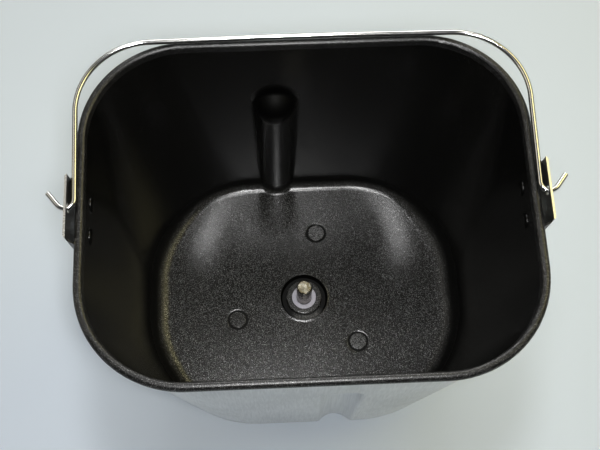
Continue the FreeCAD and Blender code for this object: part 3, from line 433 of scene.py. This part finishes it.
# Gasket and shaft seal: moulded black silicone rubber, one under the housing's head and one
# pressed into its chamber.
def finished(finish, *nodes):
    """Give solids that keep their own shape a finish."""
    for node in nodes:
        for place in frame["nodes"][node].material_slots:
            place.material = finish


rubber, skin, spot = new_finish("moulded_rubber")
cloud = spot.noise(300.0, 3.0)
feed(skin, base_color=cloud.mix((0.014, 0.014, 0.015, 1), (0.030, 0.030, 0.031, 1)),
     roughness=0.55 + cloud * 0.2,
     normal=spot.noise(2500.0).bump(0.00002))
finished(rubber, "housing_gasket", "shaft_seal")

# Rings and garter spring: oiled spring steel. The rings are snapped into turned grooves, and the
# spring lies round the seal's lip.
spring, skin, spot = new_finish("oiled_spring_steel", metallic=1.0)
cloud = spot.noise(500.0, 3.0)
feed(skin, base_color=cloud.mix((0.22, 0.22, 0.23, 1), (0.40, 0.39, 0.39, 1)),
     roughness=0.28 + cloud * 0.2)
finished(spring, "housing_retaining_ring", "shaft_snap_ring", "seal_garter_spring")

# Bearing bushes: sintered bronze, full of oil pores. They are pressed into the housing, one above
# the other.
bronze, skin, spot = new_finish("sintered_bronze", metallic=1.0)
pore = spot.noise(3000.0)
feed(skin, base_color=pore.mix((0.34, 0.22, 0.10, 1), (0.60, 0.43, 0.21, 1)),
     roughness=0.38 + pore * 0.25,
     normal=pore.bump(0.00003))
finished(bronze, "upper_bush", "lower_bush")

# Washers: pale low-friction plastic, turned. The top one shows round the shaft and is scuffed, and
# two thin ones take the shaft's thrust.
pale, skin, spot = new_finish("pale_washer_plastic")
scuff = spot.noise(900.0, 4.0)
feed(skin, base_color=scuff.mix((0.36, 0.35, 0.40, 1), (0.62, 0.60, 0.66, 1)),
     roughness=0.35 + scuff * 0.2,
     normal=scuff.bump(0.00003))
section = [(0.0041, 0.0226), (0.00655, 0.0226), (0.00655, 0.0238), (0.0041, 0.0238)]
washer = turned("seal_washer_ring", section, {2: 0.0003, 3: 0.0003}, 64, closed=True)
washer.data.materials.append(pale)
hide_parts("seal_washer")
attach(washer, "pan")
finished(pale, "upper_thrust_washer", "lower_thrust_washer")

# Drive shaft and cross pin: turned stainless steel, browned a little by baking. The shaft's top end is
# painted pale and its sides dark: painted light and shade. The shaft has a flat for the paddle.
stainless, skin, spot = new_finish("browned_stainless_steel", metallic=1.0)
lathe = spot.stretched((0.15, 0.15, 1.0)).noise(2600.0)
brown = spot.noise(420.0).step(0.38, 0.62)
# Painted light and shade: the top end pale gold, everything below it dark.
painted_lit_top = spot.along("Z").step(0.0411, 0.0414)
browned_lit_top = brown.mix((0.95, 0.90, 0.74, 1), (0.42, 0.36, 0.21, 1))
feed(skin, base_color=painted_lit_top.mix((0.20, 0.18, 0.155, 1), browned_lit_top),
     roughness=0.16 + lathe * 0.2,
     normal=lathe.bump(0.00002))
shaft = from_solid("drive_shaft", "turned_drive_shaft", "drive")
shoulder, under_washer = 0.0239, 0.02255
ledge = [corner.co.copy() for corner in shaft.data.vertices if abs(corner.co.z - shoulder) < 1e-5]
bpy.context.tool_settings.mesh_select_mode = (True, False, False)
bpy.ops.object.mode_set(mode="EDIT")
pick_points(shaft, ledge)
bpy.ops.transform.translate(value=(0, 0, under_washer - shoulder))
bpy.ops.object.mode_set(mode="OBJECT")
edged(shaft, 0.00012)
shaft.data.materials.append(stainless)
finished(stainless, "coupling_pin")

# Drive coupling: a die-cast driver with two wings, tumbled like the collar. The pin across the
# shaft's lower end holds it.
coupling = edged(from_solid("drive_coupling", "cast_drive_coupling", "drive"), 0.0002)
coupling.data.materials.append(cast)

# Bail brackets: channels bent from dull rolled steel, with bright sheared edges; the faces' near-black
# colour is painted shade. Their return feet are riveted to the side walls, which lean outwards.
shaded_rolled_steel, skin, spot = new_finish("painted_shade_rolled_steel", metallic=1.0)
roll_marks = spot.stretched((1.0, 1.0, 0.06)).noise(1500.0, 3.0)
cloud = spot.noise(90.0, 3.0)
# Painted shade: the faces near black, as in the brackets' dark channels.
feed(skin, base_color=(roll_marks * 0.3 + cloud * 0.7).mix((0.09, 0.088, 0.085, 1), (0.19, 0.185, 0.18, 1)),
     roughness=0.30 + roll_marks * 0.14 + cloud * 0.08,
     normal=roll_marks.bump(0.00002))
sheared, skin, spot = new_finish("sheared_steel_edge", metallic=1.0)
burr = spot.noise(1800.0, 3.0)
feed(skin, base_color=burr.mix((0.62, 0.61, 0.58, 1), (0.86, 0.85, 0.82, 1)),
     roughness=0.18 + burr * 0.2,
     normal=burr.bump(0.00003))
for side, out in (("left", -1), ("right", 1)):
    bracket = edged(from_solid(f"{side}_bracket", f"{side}_bail_bracket", "pan"), 0.00012)
    bracket.data.materials.append(shaded_rolled_steel)
    bracket.data.materials.append(sheared)
    up_wall = Vector((out * math.sin(lean), 0, math.cos(lean)))
    for face in bracket.data.polygons:
        face.material_index = 1 if abs(face.normal.dot(up_wall)) > 0.2 else 0

# Bracket rivets: aluminium rivets with low domed heads under the coating inside the pan, upset on
# the brackets' feet outside.
head_thick, tail_start, tail_end = 0.0010, 0.00335, 0.00465
section = [(0, 0), (0.0026, 0.0001), (0.0036, 0.0007), (0.0036, head_thick), (0.0020, head_thick),
           (0.0020, tail_start), (0.0031, tail_start), (0.0031, 0.0042), (0.0019, tail_end), (0, tail_end)]
rounds = {1: 0.0008, 2: 0.0002, 7: 0.0004, 8: 0.0004}
wall_x, wall_z, front_y, apart = 0.09385, 0.14954, -0.0077, 0.0154
for side, out in (("left", -1), ("right", 1)):
    axis = Vector((out * math.cos(lean), 0, -math.sin(lean)))
    head = Vector((out * wall_x, front_y, wall_z))
    stud = turned("bracket_rivet", section, rounds, 32, centre=head, axis=axis, across=(0, 1, 0))
    studs = together([stud, copied(stud, (0, apart, 0))], f"{side}_coated_bracket_rivets")
    studs.data.materials.append(coating)
    studs.data.materials.append(satin)
    for face in studs.data.polygons:
        face.material_index = 0 if (face.center - head).dot(axis) < head_thick + 0.0002 else 1
    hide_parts(f"{side}_bracket_rivets")
    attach(studs, "pan")

# Bail: one length of bright plated steel wire, bent to lie back on the rim, with its ends hooked
# through the brackets.
chrome, skin, spot = new_finish("bright_plated_wire", metallic=1.0)
smear = spot.noise(140.0, 3.0)
scratch = spot.stretched((0.1, 1.0, 1.0)).noise(2200.0)
feed(skin, base_color=smear.mix((0.72, 0.71, 0.68, 1), (0.86, 0.86, 0.84, 1)),
     roughness=0.08 + smear * 0.08 + scratch * 0.06)
wire_radius, pivot_height = 0.00125, 0.1650
half = [(0.1111, 0.0071), (0.1056, 0.0), (0.0997, 0.0), (0.1013, 0.0787)]
route = half + [(0.0, 0.0800)] + [(-x, y) for x, y in reversed(half)]
points = [Vector((x, y, pivot_height)) for x, y in route]
bail = drawn_line("bright_wire_bail", points)
half_bends = [(0.0042, 12), (0.0039, 16), (0.033, 28)]
bends = half_bends + [(1.5, 16)] + half_bends[::-1]
for before, bend, after, (radius, segments) in zip(points, points[1:], points[2:], bends):
    half_angle = (before - bend).angle(after - bend) / 2
    round_corner(bail, bend, radius / math.tan(half_angle), segments)
bpy.ops.object.mode_set(mode="OBJECT")
take_up(bail)
bpy.ops.object.convert(target="CURVE")
bail = bpy.context.object
bail.data.bevel_depth = wire_radius
bail.data.bevel_resolution = 6
bail.data.use_fill_caps = True
bpy.ops.object.convert(target="MESH")
bail = bpy.context.object
bpy.ops.object.shade_smooth_by_angle(angle=math.radians(40))
bail.data.materials.clear()
bail.data.materials.append(chrome)
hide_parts("bail_handle")
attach(bail, "bail")

# Floor: a plain pale sheet that the pan stands on. It is wide enough to fill every view, and no
# part of the pan.
bpy.ops.object.select_all(action="DESELECT")
bpy.ops.mesh.primitive_plane_add(size=6.0, location=(0, 0, 0))
floor = bpy.context.object
floor.name = "floor"
sheet = new_finish("pale_floor", roughness=0.8, base_color=(0.66, 0.73, 0.80, 1))[0]
floor.data.materials.append(sheet)


# Light: one small soft lamp over the pan and one beside the camera. Broad panels stand behind and
# at both sides, those at the sides more or less warm, in a dim grey room.
def lamp(name, place, target, size, energy, colour=(1.0, 1.0, 1.0)):
    """A soft square lamp at a place, turned to a target."""
    data = bpy.data.lights.new(name, "AREA")
    data.shape = "RECTANGLE"
    data.size, data.size_y = size
    data.energy = energy
    data.color = colour
    made = bpy.data.objects.new(name, data)
    made.location = place
    made.rotation_euler = (Vector(target) - made.location).to_track_quat("-Z", "Y").to_euler()
    bpy.context.scene.collection.objects.link(made)


middle = (0, 0, 0.1)
lamp("overhead_lamp", (-0.012, 0.005, 0.80), middle, (0.09, 0.09), 1.2)
lamp("front_lamp", (0.0, -0.20, 0.64), middle, (0.06, 0.06), 1.6)
lamp("warm_panel", (0.66, 0.36, 0.88), (-0.07, 0, 0.03), (0.9, 0.6), 3.4, (1.0, 0.90, 0.45))
lamp("pale_panel", (-0.66, 0.36, 0.88), (0.07, 0, 0.03), (0.9, 0.6), 1.0, (1.0, 0.97, 0.88))
lamp("back_panel", (0.0, 1.5, 1.2), middle, (1.2, 0.7), 12.0)
for side in (-1, 1):
    lamp("side_panel", (side * 1.5, 0.3, 1.0), middle, (0.9, 0.5), 0.9, (1.0, 0.85, 0.55))
room = bpy.data.worlds.new("grey_room")
room.use_nodes = True
glow = room.node_tree.nodes["Background"]
glow.inputs["Color"].default_value = (0.60, 0.61, 0.62, 1)
glow.inputs["Strength"].default_value = 0.10
bpy.context.scene.world = room
bpy.context.scene.view_settings.view_transform = "Standard"

# Camera: above the front of the pan, looking down into it. Its place and lens were fitted to the
# pan's outlines.
camera_data = bpy.data.cameras.new("camera")
camera_data.sensor_width = 36.0
camera_data.lens = 65.84
camera = bpy.data.objects.new("camera", camera_data)
camera.matrix_world = Matrix(((0.99892, 0.03792, -0.02713, -0.01697),
                              (-0.04510, 0.93347, -0.35582, -0.17640),
                              (0.01183, 0.35665, 0.93416, 0.59770),
                              (0, 0, 0, 1)))
bpy.context.scene.collection.objects.link(camera)
bpy.context.scene.camera = camera
